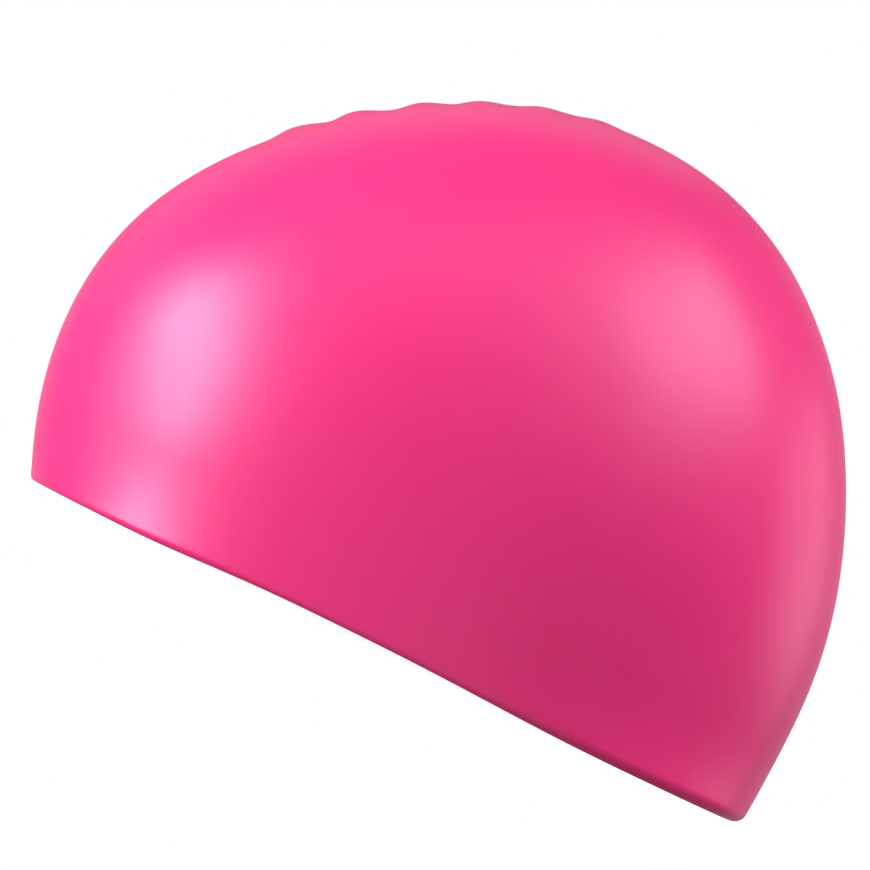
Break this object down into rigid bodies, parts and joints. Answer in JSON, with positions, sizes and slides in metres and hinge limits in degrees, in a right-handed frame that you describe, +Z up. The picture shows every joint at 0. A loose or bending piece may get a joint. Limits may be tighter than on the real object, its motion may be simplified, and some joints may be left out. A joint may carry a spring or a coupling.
{
  "type": "silicone swim cap",
  "caption": "One-piece moulded silicone swim cap: a smooth head-shaped dome with shallow ripples across the crown and a turned-under rim that it stands on.",
  "frame": {"origin": "middle of the cap's outline, on the surface that its rim stands on", "axes": "+Z up from the rim to the crown, +Y to the nape, -Y to the forehead, X across the cap"},
  "size_m": [0.1572, 0.1999, 0.1377],
  "materials": {
    "silicone": "satin"
  },
  "bodies": {
    "root": {"cap_shell": "silicone"}
  },
  "joints": []
}
